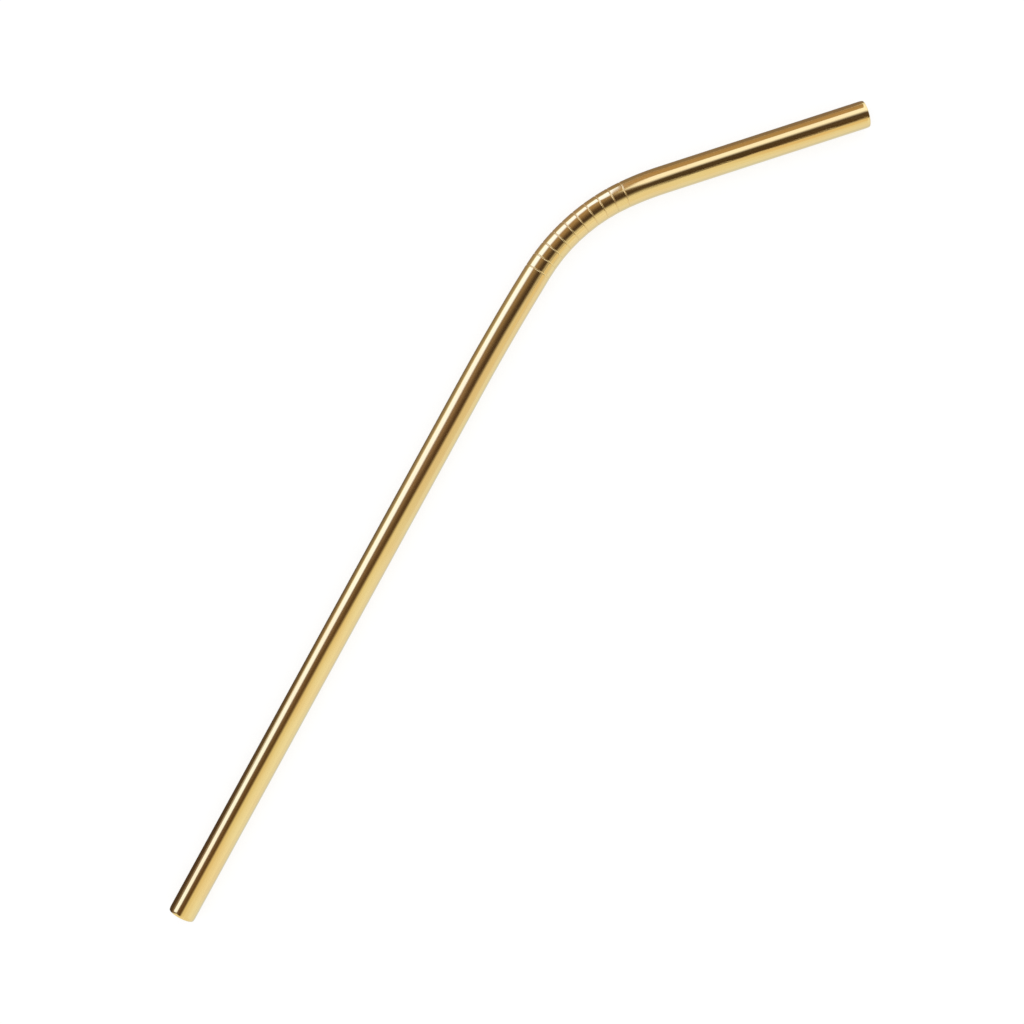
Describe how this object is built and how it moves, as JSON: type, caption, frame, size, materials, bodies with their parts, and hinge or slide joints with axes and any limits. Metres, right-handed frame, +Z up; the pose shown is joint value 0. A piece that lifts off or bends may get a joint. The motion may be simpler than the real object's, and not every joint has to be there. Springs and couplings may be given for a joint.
{
  "type": "bent metal drinking straw",
  "caption": "Bent metal drinking straw: a thin-walled round tube with fine rolled rings round its bend, a long lower leg, a short mouth leg and smooth, rounded lips.",
  "frame": {"origin": "centre of the straw's footprint, on the surface that it lies on", "axes": "+Z up from that surface, +Y along the lower leg from its foot to the bend, +X to the side that the mouth leg turns to"},
  "size_m": [0.0518, 0.2256, 0.006],
  "materials": {
    "gold_coated_steel": "polished"
  },
  "bodies": {
    "root": {"straw": "gold_coated_steel"}
  },
  "joints": []
}
